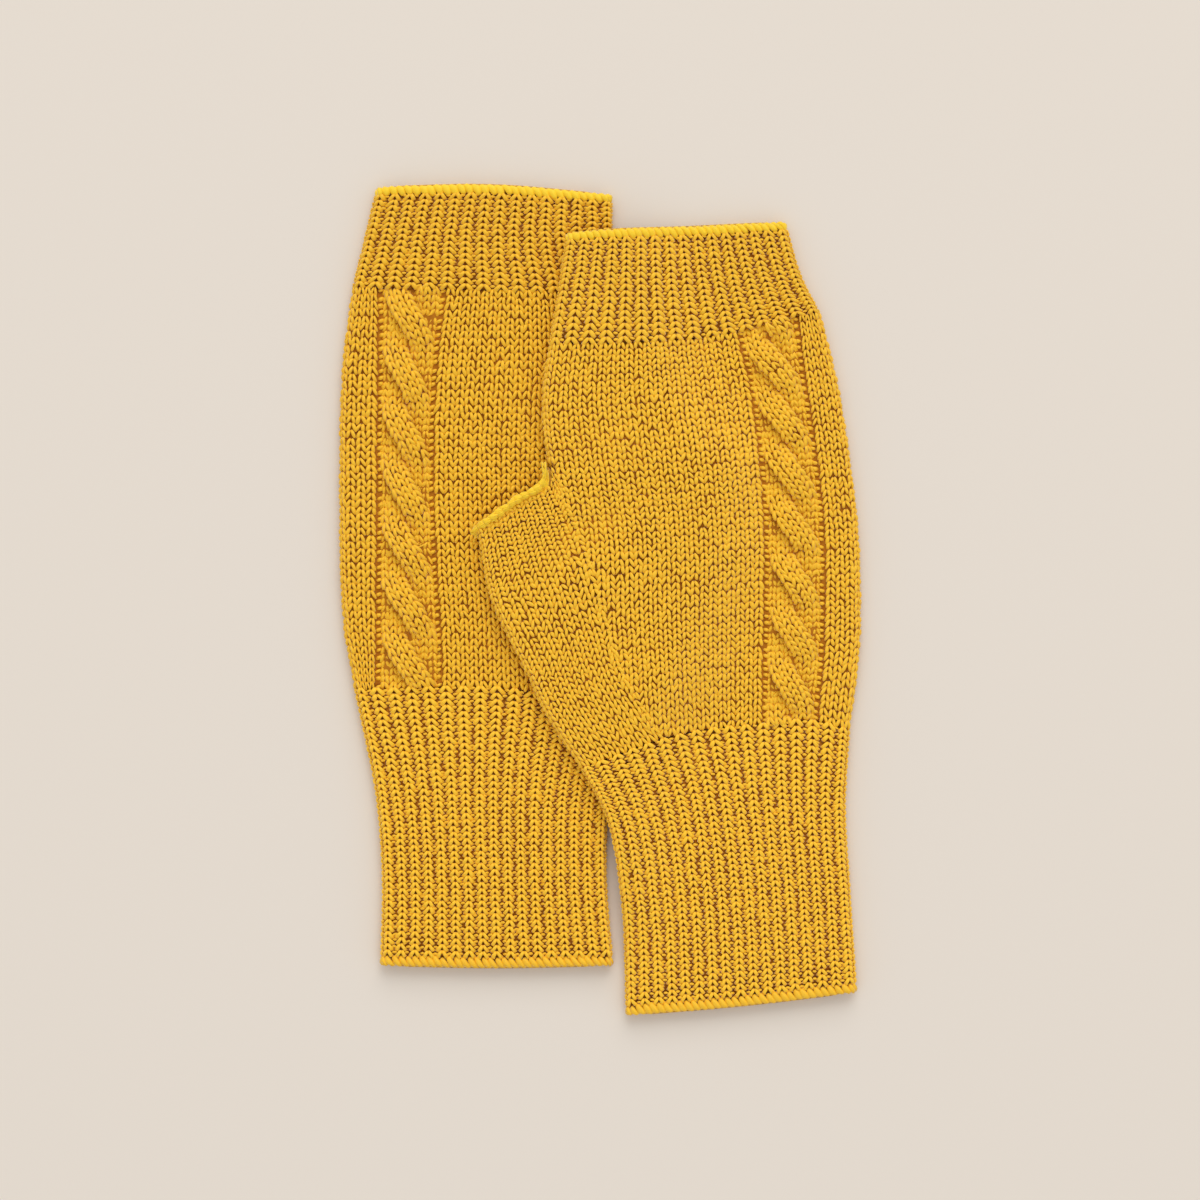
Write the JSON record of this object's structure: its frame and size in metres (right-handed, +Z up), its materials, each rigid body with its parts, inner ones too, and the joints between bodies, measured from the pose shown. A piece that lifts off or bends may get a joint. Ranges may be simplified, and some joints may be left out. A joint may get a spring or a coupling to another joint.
{
  "type": "pair of fingerless mittens",
  "caption": "Pair of ribbed fingerless mittens with a cable and a thumb opening, laid flat, the right one lying partly on the left one.",
  "frame": {"origin": "middle of the pair in plan, on the surface it rests on", "axes": "+Y from the wrists to the fingers along the longest extent, +Z up from the surface, +X to the right mitten"},
  "size_m": [0.1606, 0.2551, 0.0104],
  "materials": {
    "left_yarn": "soft wool, knitted",
    "right_yarn": "soft wool, knitted"
  },
  "bodies": {
    "root": {"left_hand": "left_yarn", "left_wrist_cuff": "left_yarn", "left_finger_cuff": "left_yarn", "left_wrist_edge": "left_yarn", "left_finger_edge": "left_yarn", "left_thumb_edge": "left_yarn", "right_hand": "right_yarn", "right_wrist_cuff": "right_yarn", "right_finger_cuff": "right_yarn", "right_wrist_edge": "right_yarn", "right_finger_edge": "right_yarn", "right_thumb_edge": "right_yarn"}
  },
  "joints": []
}
